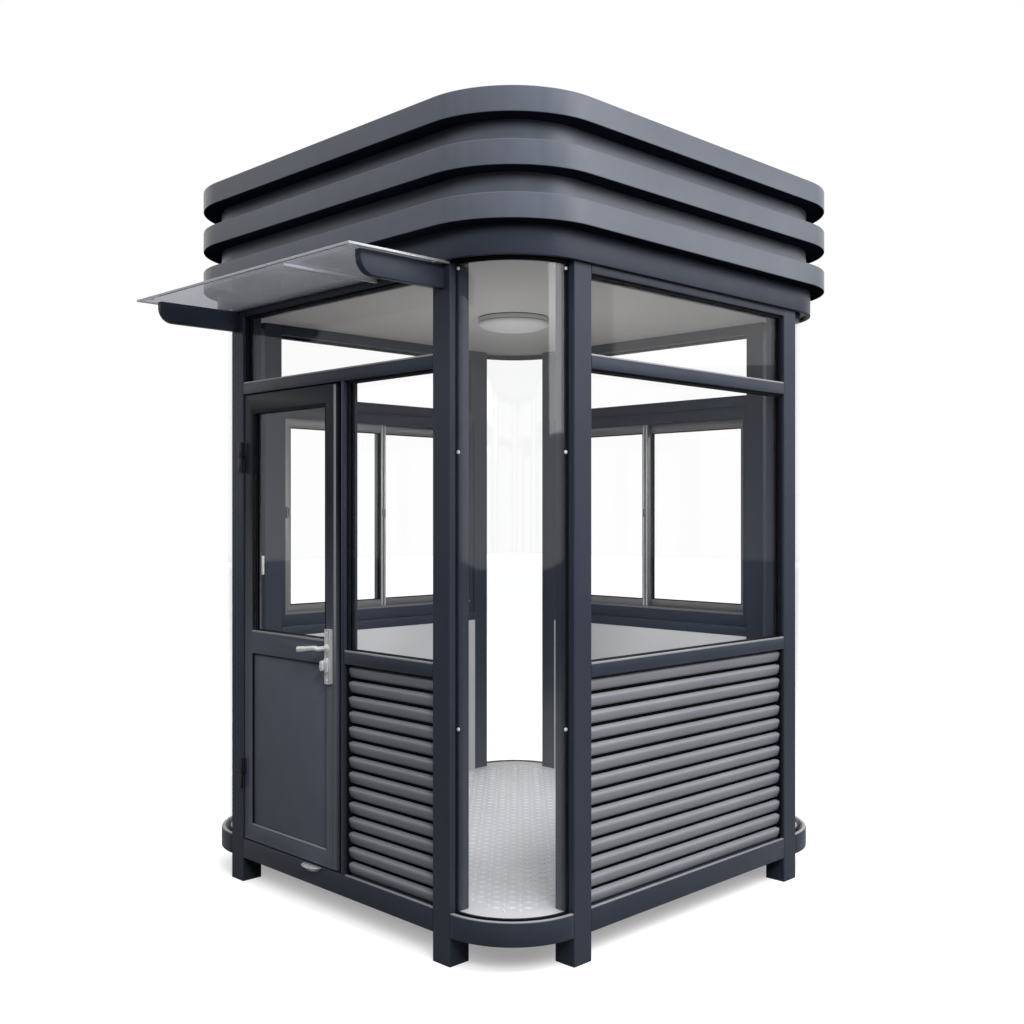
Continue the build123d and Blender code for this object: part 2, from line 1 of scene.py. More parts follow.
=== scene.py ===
import bpy
import json
from math import cos, hypot, pi, radians, sin
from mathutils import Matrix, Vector


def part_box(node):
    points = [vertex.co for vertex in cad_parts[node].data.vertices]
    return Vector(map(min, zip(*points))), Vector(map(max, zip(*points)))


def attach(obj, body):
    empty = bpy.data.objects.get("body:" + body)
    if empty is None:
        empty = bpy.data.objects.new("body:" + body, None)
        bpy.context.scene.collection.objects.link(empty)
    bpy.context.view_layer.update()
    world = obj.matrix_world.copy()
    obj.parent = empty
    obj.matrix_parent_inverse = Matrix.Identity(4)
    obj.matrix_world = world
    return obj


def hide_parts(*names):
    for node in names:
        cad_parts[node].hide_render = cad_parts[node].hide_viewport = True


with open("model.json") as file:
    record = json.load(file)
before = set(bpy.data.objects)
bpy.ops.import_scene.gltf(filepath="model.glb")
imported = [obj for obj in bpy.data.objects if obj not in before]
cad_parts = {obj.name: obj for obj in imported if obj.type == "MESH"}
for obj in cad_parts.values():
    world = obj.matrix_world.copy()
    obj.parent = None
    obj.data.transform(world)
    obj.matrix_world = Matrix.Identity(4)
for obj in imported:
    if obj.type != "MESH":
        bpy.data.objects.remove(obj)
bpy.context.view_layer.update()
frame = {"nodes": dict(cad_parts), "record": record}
nodes = frame["nodes"]

# ------------ shader tools

# Sockets of a Mix node that mixes colours
MIX_SHARE, MIX_FIRST, MIX_SECOND, MIX_RESULT = 0, 6, 7, 2


def feed(node, inputs):
    """Gives each input a value, or joins it to another node's output."""
    for socket, source in inputs.items():
        if isinstance(source, bpy.types.NodeSocket):
            node.id_data.links.new(source, node.inputs[socket])
        else:
            node.inputs[socket].default_value = source


def add_node(tree, kind, inputs=None, **settings):
    node = tree.nodes.new("ShaderNode" + kind)
    for setting, value in settings.items():
        setattr(node, setting, value)
    feed(node, inputs or {})
    return node


def own_place(tree):
    """The object's own coordinates."""
    return add_node(tree, "TexCoord").outputs["Object"]


def either(tree, first, second):
    """One where either of two yes-or-no values is one."""
    return add_node(tree, "Math", {0: first, 1: second}, operation="MAXIMUM").outputs[0]


def add_range(tree, source, low, high, new_low, new_high, **settings):
    """Carries the values between two limits over to two new limits."""
    inputs = {"Value": source, "From Min": low, "From Max": high, "To Min": new_low, "To Max": new_high}
    return add_node(tree, "MapRange", inputs, **settings).outputs["Result"]


def mix_shaders(tree, share, first, second):
    return add_node(tree, "MixShader", {"Fac": share, 1: first.outputs[0], 2: second.outputs[0]})


def new_material(name):
    material = bpy.data.materials.new(name)
    material.use_nodes = True
    return material, material.node_tree, material.node_tree.nodes["Principled BSDF"]


# ------------ stage, camera and lamps

FLOOR_SIZE = 60
FLOOR_SHOWN = (0.62, 0.62, 0.63)
FLOOR_ROUND_THE_BOOTH = (0.05, 0.05, 0.05)
# Half the side of the square of posts, from which the glow's distances count
GLOW_SQUARE = 0.7
# Distance from that square where the floor's glow starts and where it is full, and its two strengths; the
# weaker glow near the booth is a painted shadow round its foot
FLOOR_GLOW_AND_PAINTED_SHADOW = (0.08, 0.50, 0.30, 1.0)
WORLD_STRENGTH = 0.22
WORLD_TINT = (0.93, 0.96, 1.0)
CAMERA_TURN = radians(-45) + 0.0046
CAMERA_DISTANCE = 5.1341
EYE_HEIGHT = 1.541
CAMERA_OPTICS = {"sensor_width": 36.0, "lens": 40.585, "shift_x": -0.0016, "shift_y": 0.0034}


def make_stage():
    """A pale floor: white far off, and nearer the booth it keeps the booth's shadow, deepened by a painted
    shadow where its glow is weaker.
    """
    bpy.ops.object.select_all(action="DESELECT")
    bpy.ops.mesh.primitive_plane_add(size=FLOOR_SIZE)
    ground = bpy.context.object
    ground.name = "studio_floor"
    material, tree, surface = new_material("studio_floor")
    path = add_node(tree, "LightPath").outputs
    seen = either(tree, path["Is Camera Ray"], path["Is Transmission Ray"])
    colour = add_node(tree, "Mix", {MIX_SHARE: either(tree, seen, path["Is Glossy Ray"]),
                                    MIX_FIRST: (*FLOOR_ROUND_THE_BOOTH, 1),
                                    MIX_SECOND: (*FLOOR_SHOWN, 1)}, data_type="RGBA")
    place = own_place(tree)
    for operation, more in (("ABSOLUTE", {}), ("SUBTRACT", {1: (GLOW_SQUARE, GLOW_SQUARE, 0)}),
                            ("MAXIMUM", {1: (0, 0, 0)})):
        place = add_node(tree, "VectorMath", {0: place, **more}, operation=operation).outputs["Vector"]
    distance = add_node(tree, "VectorMath", {0: place}, operation="LENGTH").outputs["Value"]
    # The glow grows with the distance from the booth: nearer the booth it is a painted shadow.
    glow_and_painted_shadow = add_range(tree, distance, *FLOOR_GLOW_AND_PAINTED_SHADOW, interpolation_type="SMOOTHSTEP")
    shown = add_node(tree, "Math", {0: seen, 1: glow_and_painted_shadow}, operation="MULTIPLY")
    feed(surface, {"Base Color": colour.outputs[MIX_RESULT], "Roughness": 0.9, "Specular IOR Level": 0.0,
                   "Emission Color": (1, 1, 1, 1), "Emission Strength": shown.outputs[0]})
    ground.data.materials.append(material)


def make_world():
    """White where the camera, metal and glass look, and a soft grey light elsewhere."""
    world = bpy.data.worlds.new("studio")
    bpy.context.scene.world = world
    world.use_nodes = True
    tree = world.node_tree
    tree.nodes.clear()
    path = add_node(tree, "LightPath").outputs
    seen = either(tree, path["Is Camera Ray"], path["Is Glossy Ray"])
    seen = either(tree, seen, path["Is Transmission Ray"])
    soft = add_node(tree, "Background", {"Color": (*WORLD_TINT, 1), "Strength": WORLD_STRENGTH})
    white = add_node(tree, "Background", {"Color": (1, 1, 1, 1), "Strength": 1.0})
    add_node(tree, "OutputWorld", {"Surface": mix_shaders(tree, seen, soft, white).outputs[0]})


def add_object(name, data, place=(0, 0, 0)):
    piece = bpy.data.objects.new(name, data)
    bpy.context.scene.collection.objects.link(piece)
    piece.location = place
    return piece


def add_softbox(name, place, target, width, height, watts):
    lamp = bpy.data.lights.new(name, "AREA")
    lamp.shape = "RECTANGLE"
    lamp.size, lamp.size_y = width, height
    lamp.energy = watts
    holder = add_object(name, lamp, place)
    holder.rotation_euler = (Vector(target) - Vector(place)).to_track_quat("-Z", "Y").to_euler()
    return holder


def add_room_lamp(name, place, radius, watts):
    """A soft ball of light in the room, which the camera and mirrors don't show."""
    lamp = bpy.data.lights.new(name, "POINT")
    lamp.shadow_soft_size = radius
    lamp.energy = watts
    holder = add_object(name, lamp, place)
    holder.visible_camera = holder.visible_glossy = holder.visible_transmission = False


def make_camera():
    camera = bpy.data.cameras.new("camera")
    for setting, value in CAMERA_OPTICS.items():
        setattr(camera, setting, value)
    place = (CAMERA_DISTANCE * cos(CAMERA_TURN), CAMERA_DISTANCE * sin(CAMERA_TURN), EYE_HEIGHT)
    holder = add_object("camera", camera, place)
    holder.rotation_euler = (radians(90), 0, CAMERA_TURN + radians(90))
    bpy.context.scene.camera = holder


make_stage()
make_world()
make_camera()
for name, place, target, width, height, watts, mirrored in (
        ("right_softbox", (5.3, 1.7, 3.9), (0.95, -0.8, 1.9), 3.4, 3.6, 120, True),
        ("high_right_softbox", (4.4, -0.4, 5.6), (1.0, 0.0, 1.4), 2.4, 2.0, 190, False),
        ("far_right_softbox", (4.4, 5.1, 3.7), (0.9, 0.2, 2.3), 2.0, 1.6, 16, True),
        ("corner_softbox", (4.7, -3.0, 4.0), (0.9, -0.9, 1.2), 1.6, 1.6, 150, False),
        ("left_softbox", (0.1, -5.0, 4.8), (0.0, -1.0, 0.8), 2.0, 1.4, 54, False),
        ("top_softbox", (0.3, -0.3, 6.5), (0, 0, 0), 4.0, 4.0, 150, True)):
    add_softbox(name, place, target, width, height, watts).visible_glossy = mirrored
add_room_lamp("room_lamp", (0.15, -0.15, 1.35), 0.3, 18)

# ------------ finishes

def add_noise(tree, scale, detail=3.0, roughness=0.5, stretch=(1, 1, 1)):
    """Noise over the object's own coordinates."""
    mapping = add_node(tree, "Mapping", {"Vector": own_place(tree), "Scale": stretch})
    return add_node(tree, "TexNoise", {"Vector": mapping.outputs["Vector"], "Scale": scale,
                                       "Detail": detail, "Roughness": roughness}).outputs["Fac"]


def add_tones(tree, source, colour, *stops):
    """A ramp of one colour. Each stop is a position and the colour's strength there."""
    ramp = add_node(tree, "ValToRGB", {"Fac": source})
    elements = ramp.color_ramp.elements
    elements[0].position, elements[1].position = stops[0][0], stops[-1][0]
    for position, strength in stops[1:-1]:
        elements.new(position)
    for element, (position, strength) in zip(elements, stops):
        element.color = (*(channel * strength for channel in colour), 1)
    return ramp.outputs["Color"]


def add_spread(tree, source, low, high):
    """Spreads a noise over two limits."""
    return add_range(tree, source, 0.3, 0.7, low, high)


def add_bump(tree, source, strength, distance):
    return add_node(tree, "Bump", {"Height": source, "Strength": strength,
                                   "Distance": distance}).outputs["Normal"]


def powder_coat(name, colour, gloss=(0.32, 0.44), sheen=0.16, painted_light_fade=None):
    """Powder coat on steel: slightly cloudy in tone, with a fine orange peel.

    A fade is two heights and the colour's strength at each: painted light and shade that change with height.
    """
    material, tree, surface = new_material(name)
    tone = add_tones(tree, add_noise(tree, 2.1, 6.0, 0.6), colour, (0.3, 0.9), (0.52, 1.0), (0.72, 1.1))
    # The fade multiplies the colour by height: painted shade and painted highlight.
    if painted_light_fade:
        height = add_node(tree, "SeparateXYZ", {0: own_place(tree)}).outputs["Z"]
        strength = add_range(tree, height, *painted_light_fade)
        tone = add_node(tree, "Mix", {MIX_SHARE: 1.0, MIX_FIRST: tone, MIX_SECOND: strength},
                        data_type="RGBA", blend_type="MULTIPLY").outputs[MIX_RESULT]
    feed(surface, {"Base Color": tone, "Roughness": add_spread(tree, add_noise(tree, 9.0, 6.0, 0.65), *gloss),
                   "Specular IOR Level": sheen,
                   "Normal": add_bump(tree, add_noise(tree, 520.0, 2.0), 0.3, 0.0004)})
    return material


def brushed_metal(name, colour, gloss, metal=0.5):
    """Satin metal under a clear coat, with fine upright lines."""
    material, tree, surface = new_material(name)
    lines = add_noise(tree, 800.0, 4.0, 0.6, (1, 1, 0.05))
    feed(surface, {"Base Color": add_tones(tree, lines, colour, (0.3, 0.9), (0.55, 1.0), (0.75, 1.08)),
                   "Roughness": add_spread(tree, lines, *gloss), "Metallic": metal,
                   "Normal": add_bump(tree, lines, 0.12, 0.0003)})
    return material


def wall_board(name, colour, grain=140.0):
    """Smooth coated board with a faint fleck."""
    material, tree, surface = new_material(name)
    fleck = add_noise(tree, grain, 3.0, 0.6)
    broad = add_noise(tree, 5.0, 3.0)
    tone = add_node(tree, "Math", {0: fleck, 1: 0.35, 2: add_spread(tree, broad, 0.15, 0.5)},
                    operation="MULTIPLY_ADD").outputs[0]
    feed(surface, {"Base Color": add_tones(tree, tone, colour, (0.3, 0.96), (0.5, 1.0), (0.7, 1.03)),
                   "Roughness": add_spread(tree, broad, 0.42, 0.56),
                   "Normal": add_bump(tree, fleck, 0.1, 0.0003)})
    return material


def moulded(name, colour, gloss=(0.3, 0.42), fleck=90.0, sheen=0.3):
    """Moulded plastic or rubber: even, with a fine skin."""
    material, tree, surface = new_material(name)
    skin = add_noise(tree, fleck, 4.0, 0.6)
    feed(surface, {"Base Color": add_tones(tree, skin, colour, (0.35, 0.88), (0.65, 1.08)),
                   "Roughness": add_spread(tree, skin, *gloss), "Specular IOR Level": sheen,
                   "Normal": add_bump(tree, add_noise(tree, 700.0, 2.0), 0.2, 0.0002)})
    return material


def clear_glass(name, tint, mirror_head_on=0.010, mirror_edge_on=0.25):
    """Thin glass: sight passes straight through it, and it mirrors more towards its edges."""
    material, tree, surface = new_material(name)
    tree.nodes.remove(surface)
    streaks = add_noise(tree, 3.0, 3.0, stretch=(1, 1, 0.3))
    through = add_node(tree, "BsdfTransparent",
                       {"Color": add_tones(tree, streaks, tint, (0.35, 1.0), (0.75, 0.999))})
    mirror = add_node(tree, "BsdfGlossy", {"Roughness": 0.03})
    facing = add_node(tree, "LayerWeight", {"Blend": 0.5}).outputs["Facing"]
    edge = add_node(tree, "Math", {0: facing, 1: 5.0}, operation="POWER").outputs[0]
    share = add_range(tree, edge, 0.0, 1.0, mirror_head_on, mirror_edge_on)
    feed(tree.nodes["Material Output"], {"Surface": mix_shaders(tree, share, through, mirror).outputs[0]})
    return material


def milky_sheet(name, tint, body):
    """Clear plastic sheet with a little milk in it, which lights up from above."""
    material = clear_glass(name, tint, 0.04)
    tree = material.node_tree
    output = tree.nodes["Material Output"]
    clear_part = output.inputs["Surface"].links[0].from_node
    cloud = add_noise(tree, 4.0, 4.0, 0.6)
    milk = add_node(tree, "BsdfTranslucent", {"Color": add_tones(tree, cloud, body, (0.3, 0.85), (0.7, 1.0))})
    skin = add_node(tree, "BsdfDiffuse", {"Color": (*body, 1)})
    milky_part = mix_shaders(tree, 0.5, milk, skin)
    mix = mix_shaders(tree, add_spread(tree, cloud, 0.28, 0.38), clear_part, milky_part)
    feed(output, {"Surface": mix.outputs[0]})
    return material


def opal(name, colour):
    """Opal plastic over a lamp."""
    material = moulded(name, colour, (0.25, 0.35), 500.0)
    feed(material.node_tree.nodes["Principled BSDF"],
         {"Subsurface Weight": 0.2, "Subsurface Radius": (0.01, 0.01, 0.01)})
    return material


paint = powder_coat("grey_powder_coat", (0.029, 0.035, 0.052))
# The fins' coat is lighter than the frame's: partly painted light, for the light the fins catch from above.
fin_paint = powder_coat("fin_powder_coat_with_painted_light", (0.078, 0.088, 0.114), (0.28, 0.38), 0.4)
# Darker and matt, for the fins' down-facing faces: painted shade.
fin_painted_shade = powder_coat("fin_underside_painted_shade", (0.024, 0.028, 0.042), (0.6, 0.7), 0.0)
# The door's coat is lighter than the frame's: partly its own paint, partly painted light for the light the
# awning keeps off; its fade, darker towards the leaf's head, is painted shade under the awning.
door_paint = powder_coat("door_coat_painted_light_and_shade", (0.128, 0.141, 0.174), sheen=0.08, painted_light_fade=(0.90, 1.60, 1.0, 0.16))
# The slats' coat is much lighter than the frame's: partly painted light, for the light the up-facing slats
# catch.
slat_paint = powder_coat("slat_powder_coat_with_painted_light", (0.25, 0.254, 0.28), (0.28, 0.38), 0.3)
# A light coat: the beads' own paint, partly a painted highlight along the lit edges at the foot of each
# opening.
bead_coat_and_painted_highlight = powder_coat("bead_coat_and_painted_highlight", (0.30, 0.308, 0.33), (0.3, 0.4), 0.4)
# A light coat, darker below the lock: a painted highlight down the door's lock edge.
edge_coat_painted_highlight = powder_coat("edge_coat_painted_highlight", (0.26, 0.265, 0.28), (0.3, 0.4), 0.4, (0.90, 1.15, 0.4, 1.0))
lining = wall_board("lining_board", (0.50, 0.505, 0.515))
ceiling_board = wall_board("ceiling_board", (0.56, 0.54, 0.515))
plate = wall_board("chequer_plate", (0.57, 0.57, 0.59), 60.0)
# The lozenges are lighter than the plate: a painted highlight on their tops.
tread_metal = wall_board("tread_painted_highlight", (0.73, 0.73, 0.75), 200.0)
window_metal = brushed_metal("window_aluminium", (0.18, 0.182, 0.186), (0.3, 0.42))
bright_metal = brushed_metal("bright_aluminium", (0.70, 0.71, 0.73), (0.24, 0.36))
steel = brushed_metal("satin_stainless", (0.80, 0.80, 0.79), (0.22, 0.32), 0.35)
clear = (0.999, 1.0, 1.0)
glass = clear_glass("clear_glass", clear)
bent_glass = clear_glass("bent_glass", clear, 0.034)
door_glass = clear_glass("door_glass", clear, 0.030)
upper_glass = clear_glass("upper_glass", clear, 0.018)
awning_clear = milky_sheet("awning_polycarbonate", (0.83, 0.84, 0.87), (0.44, 0.44, 0.47))
hinge_black = moulded("hinge_black", (0.013, 0.013, 0.015), (0.25, 0.36))
# Black rubber for the gaskets and seals, also used as painted shade in the louvres and round the door's
# glass.
rubber_and_painted_shade = moulded("black_rubber_and_painted_shade", (0.005, 0.005, 0.007), (0.5, 0.65), 90.0, 0.1)
lamp_white = moulded("lamp_white", (0.72, 0.72, 0.70), fleck=500.0)
lamp_opal = opal("lamp_opal", (0.80, 0.80, 0.78))
switch_white = moulded("switch_white", (0.76, 0.76, 0.73), (0.2, 0.3))

slots = {
    "grey_paint": paint, "fin_paint": fin_paint, "door_paint": door_paint, "louvre_paint": slat_paint,
    "lining_board": lining, "ceiling_board": ceiling_board, "floor_aluminium": plate,
    "window_aluminium": window_metal, "clear_glass": glass,
    "awning_polycarbonate": awning_clear, "stainless": steel, "hinge_black": hinge_black,
    "lamp_white": lamp_white, "switch_white": switch_white,
}
slot_of = {part["node"]: part["material_slot"] for part in frame["record"]["subparts"]}
for node, slot in slot_of.items():
    materials = nodes[node].data.materials
    materials.clear()
    materials.append(slots[slot])
for node in nodes:
    if node.endswith("corner_glass"):
        nodes[node].data.materials[0] = bent_glass
nodes["door_glass"].data.materials[0] = door_glass
nodes["clerestory_glass"].data.materials[0] = upper_glass

# ------------ shaping tools

# Least share of a face's normal that lies along a way for the face to count as looking that way
LEAST_FACING = 0.9


def clear_selection():
    bpy.ops.object.select_all(action="DESELECT")


def take(piece):
    """Makes one piece the selected and active one."""
    clear_selection()
    piece.select_set(True)
    bpy.context.view_layer.objects.active = piece


def named(name):
    """Names the piece just added and puts its place into its mesh."""
    piece = bpy.context.object
    piece.name = name
    piece.data.name = name
    bpy.ops.object.transform_apply(location=True, rotation=True, scale=True)
    return piece


def add_block(name, low, high, soft=0.0, steps=2):
    """A block between two corners, with its edges rounded if soft is a width."""
    clear_selection()
    low, high = Vector(low), Vector(high)
    bpy.ops.mesh.primitive_cube_add(size=1, location=(low + high) / 2)
    bpy.context.object.scale = high - low
    block = named(name)
    if soft:
        soften(block, soft, steps)
    return block


def add_round(name, centre, axis, radius, length, sides=24):
    clear_selection()
    turn = {"X": (0, pi / 2, 0), "Y": (pi / 2, 0, 0), "Z": (0, 0, 0)}[axis]
    bpy.ops.mesh.primitive_cylinder_add(vertices=sides, radius=radius, depth=length, location=centre,
                                        rotation=turn)
    return named(name)


def pick(piece, kind, test):
    """Goes into edit mode with the corners or faces selected that pass a test."""
    take(piece)
    bpy.ops.object.mode_set(mode="EDIT")
    bpy.ops.mesh.select_mode(type=kind)
    bpy.ops.mesh.select_all(action="DESELECT")
    bpy.ops.object.mode_set(mode="OBJECT")
    parts = {"VERT": piece.data.vertices, "EDGE": piece.data.edges, "FACE": piece.data.polygons}[kind]
    for part in parts:
        part.select = test(part)
    bpy.ops.object.mode_set(mode="EDIT")


def pick_facing(piece, way):
    """Picks the faces that look one way."""
    pick(piece, "FACE", lambda face: face.normal.dot(way) > LEAST_FACING)


def edit_all(piece):
    take(piece)
    bpy.ops.object.mode_set(mode="EDIT")
    bpy.ops.mesh.select_all(action="SELECT")


def leave_edit():
    bpy.ops.object.mode_set(mode="OBJECT")


def pull(x, y, z):
    """Extrudes what is selected."""
    bpy.ops.mesh.extrude_region_move(TRANSFORM_OT_translate={"value": (x, y, z)})


def move(x, y, z):
    """Moves what is selected."""
    bpy.ops.transform.translate(value=(x, y, z))


def resize(shares, centre):
    """Resizes what is selected about a point."""
    bpy.ops.transform.resize(value=shares, center_override=centre)


def press(piece, way, *steps):
    """Insets the faces that look one way, and then pulls them out by a depth, once for each step."""
    pick_facing(piece, way)
    for thickness, depth in steps:
        bpy.ops.mesh.inset(thickness=thickness)
        pull(*(share * depth for share in way))
    leave_edit()


def remove(*pieces):
    for piece in pieces:
        take(piece)
        bpy.ops.object.delete()


def apply_modifier(piece, kind, **settings):
    take(piece)
    modifier = piece.modifiers.new("shaping", kind)
    for setting, value in settings.items():
        setattr(modifier, setting, value)
    bpy.ops.object.modifier_apply(modifier="shaping")


def soften(piece, width, steps=2, angle=32):
    """Rounds a piece's sharp edges."""
    apply_modifier(piece, "BEVEL", width=width, segments=steps, limit_method="ANGLE",
                   angle_limit=radians(angle))


def repeat(piece, count, x=0.0, y=0.0, z=0.0):
    apply_modifier(piece, "ARRAY", count=count, use_relative_offset=False, use_constant_offset=True,
                   constant_offset_displace=(x, y, z))


def copy_turned(piece, name, turn):
    """A copy with its own mesh, turned about the booth's middle."""
    take(piece)
    bpy.ops.object.duplicate()
    bpy.context.object.rotation_euler.z = radians(turn)
    return named(name)


def join(name, pieces):
    clear_selection()
    for piece in pieces:
        piece.select_set(True)
    bpy.context.view_layer.objects.active = pieces[0]
    if len(pieces) > 1:
        bpy.ops.object.join()
    return named(name)


def on_all_walls(name, piece, turns=(90, 180, 270)):
    """The piece and its copies on the other walls, as one."""
    return join(name, [piece] + [copy_turned(piece, name, turn) for turn in turns])


def hand_over(piece, material, body="booth", smooth=35):
    """Gives a finished piece its finish and the body that it moves with."""
    take(piece)
    bpy.ops.object.shade_smooth_by_angle(angle=radians(smooth))
    piece.data.materials.clear()
    piece.data.materials.append(material)
    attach(piece, body)
    return piece


def add_ring(name, x, z, depth, width, soft=0.001):
    """A mitred ring round an opening in the front wall. Depth counts inwards from the wall's face."""
    clear_selection()
    bpy.ops.mesh.primitive_plane_add(size=1, rotation=(pi / 2, 0, 0),
                                     location=((x[0] + x[1]) / 2, depth[0] - FACE, (z[0] + z[1]) / 2))
    bpy.context.object.scale = (x[1] - x[0], z[1] - z[0], 1)
    ring = named(name)
    edit_all(ring)
    bpy.ops.mesh.inset(thickness=width)
    bpy.ops.mesh.delete(type="FACE")
    bpy.ops.mesh.select_all(action="SELECT")
    pull(0, depth[1] - depth[0], 0)
    bpy.ops.mesh.select_all(action="SELECT")
    bpy.ops.mesh.normals_make_consistent(inside=False)
    leave_edit()
    soften(ring, soft)
    return ring


def add_corner_strip(name, radii, z, steps=24):
    """A strip bent round the front right corner, between two radii and two heights."""
    clear_selection()
    middle = POST_OUT + (radii[0] + radii[1]) / 2
    bpy.ops.mesh.primitive_plane_add(size=1, rotation=(0, pi / 2, 0),
                                     location=(POST_OUT, -middle, (z[0] + z[1]) / 2))
    bpy.context.object.scale = (z[1] - z[0], radii[1] - radii[0], 1)
    strip = named(name)
    edit_all(strip)
    bpy.ops.mesh.spin(steps=steps, angle=radians(-90), center=(POST_OUT, -POST_OUT, 0), axis=(0, 0, 1))
    bpy.ops.mesh.select_all(action="SELECT")
    bpy.ops.mesh.remove_doubles(threshold=0.00001)
    bpy.ops.mesh.normals_make_consistent(inside=False)
    leave_edit()
    return strip


def set_bolts(name, radius, seats):
    """Button-headed bolts with a hexagon socket, one at each seat: a place and the way the head looks."""
    clear_selection()
    bpy.ops.mesh.primitive_cylinder_add(vertices=18, radius=radius, depth=radius * 0.4,
                                        location=(0, 0, radius * 0.2))
    bolt = named(name)
    pick_facing(bolt, (0, 0, 1))
    pull(0, 0, radius * 0.3)
    resize((0.62, 0.62, 1), (0, 0, radius * 0.7))
    bpy.ops.mesh.inset(thickness=radius * 0.25)
    pull(0, 0, -radius * 0.25)
    leave_edit()
    bolts = []
    for place, facing in seats:
        take(bolt)
        bpy.ops.object.duplicate()
        copy = bpy.context.object
        copy.rotation_euler = Vector(facing).to_track_quat("Z", "Y").to_euler()
        copy.location = place
        bolts.append(named(name))
    remove(bolt)
    return join(name, bolts)


def turned(place, turn):
    """A place or a direction in the front wall, carried to another wall."""
    angle = radians(turn)
    x, y, z = place
    return (x * cos(angle) - y * sin(angle), x * sin(angle) + y * cos(angle), z)


def eased_copy(node, width, steps=2):
    """A CAD piece again, with its sharp edges eased."""
    name = node + "_eased"
    piece = add_object(name, nodes[node].data.copy())
    edit_all(piece)
    bpy.ops.mesh.remove_doubles(threshold=0.00002)
    bpy.ops.mesh.dissolve_limited(angle_limit=radians(0.5))
    leave_edit()
    soften(piece, width, steps)
    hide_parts(node)
    return piece


# ------------ the booth's own measures

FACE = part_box("base_beams")[1].y
POST_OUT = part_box("front_posts")[1].x
POST_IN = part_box("right_window_glass")[1].y
BASE_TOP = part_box("base_beams")[1].z
SILL_BOTTOM, SILL_TOP = (corner.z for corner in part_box("sill_rails"))
TRANSOM_BOTTOM, TRANSOM_TOP = (corner.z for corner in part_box("transom_rails"))
HEAD_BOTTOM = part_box("top_rails")[0].z
CEILING_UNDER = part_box("ceiling")[0].z
WHOLE_BAY = (-POST_IN, POST_IN)
SIDE_BAY = (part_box("side_window_glass")[0].x, POST_IN)
WALLS = {"right": 90, "back": 180, "left": 270}
CORNER_GLASS = FACE - 0.028 - POST_OUT

# ------------ frame

def make_eased_members():
    """The frame's members with the small roundings that folded steel has."""
    for node, width in (("base_beams", 0.0025), ("base_corners", 0.003), ("sill_rails", 0.002),
                        ("transom_rails", 0.002), ("top_rails", 0.002), ("mullion", 0.0015),
                        ("door_stop", 0.001), ("fascia", 0.002), ("awning_brackets", 0.0015),
                        ("roof_fins", 0.0015), ("back_window_frame", 0.0015), ("left_window_frame", 0.0015),
                        ("back_window_sashes", 0.001), ("left_window_sashes", 0.001),
                        ("wall_linings", 0.0008)):
        hand_over(eased_copy(node, width), slots[slot_of[node]])
    hand_over(eased_copy("door_leaf", 0.0015), door_paint, "door")
    # The fins' down-facing faces take the darker coat: painted shade under them.
    fins = bpy.data.objects["roof_fins_eased"]
    fins.data.materials.append(fin_painted_shade)
    for face in fins.data.polygons:
        face.material_index = int(face.normal.z < -0.5)


# ------------ louvres

SLAT_COUNT = 14
SLAT_PITCH = (SILL_BOTTOM - BASE_TOP) / SLAT_COUNT
# Depth from the wall's face, and height above the slat's foot
SLAT_SECTION = ((0.0370, -0.0070), (0.0300, -0.0050), (0.0258, 0.0035), (0.0218, 0.0135),
                (0.0188, 0.0230), (0.0184, 0.0300), (0.0225, 0.0350), (0.0400, 0.0375))


def make_slats(name, bay):
    """Pressed slats with a rolled nose, one above the other.

    The grid's rows start well above the booth, so that no moved row is picked again.
    """
    start = 10
    rows = len(SLAT_SECTION) - 1
    clear_selection()
    bpy.ops.mesh.primitive_grid_add(x_subdivisions=1, y_subdivisions=rows, size=rows,
                                    rotation=(pi / 2, 0, 0),
                                    location=((bay[0] + bay[1]) / 2, 0, start + rows / 2))
    bpy.context.object.scale.x = (bay[1] - bay[0] - 0.008) / rows
    slats = named(name)
    foot = BASE_TOP + 0.010
    for row, (depth, height) in enumerate(SLAT_SECTION):
        pick(slats, "VERT", lambda corner: abs(corner.co.z - start - row) < 0.1)
        move(0, depth - FACE, foot + height - start - row)
        leave_edit()
    apply_modifier(slats, "SOLIDIFY", thickness=0.0022)
    repeat(slats, SLAT_COUNT, z=SLAT_PITCH)
    return slats


def make_shade_channels(name, bay):
    """The channels that the slats' ends sit in, in black: painted shade in the channels."""
    shade_channels = []
    for edge, inward in ((bay[0], 1), (bay[1], -1)):
        side = sorted((edge, edge + inward * 0.009))
        channel = add_block(name, (side[0], 0.012 - FACE, BASE_TOP), (side[1], 0.058 - FACE, SILL_BOTTOM))
        press(channel, (inward, 0, 0), (0.004, -0.004))
        shade_channels.append(channel)
    return join(name, shade_channels)


def make_shade_screen(name, bay):
    """A black sheet behind the slats, in a raised border: painted shade between the slats."""
    shade_screen = add_block(name, (bay[0], 0.058 - FACE, BASE_TOP), (bay[1], 0.066 - FACE, SILL_BOTTOM))
    for outward in (-1, 1):
        press(shade_screen, (0, outward, 0), (0.014, -0.002))
    soften(shade_screen, 0.0006, 1)
    return shade_screen


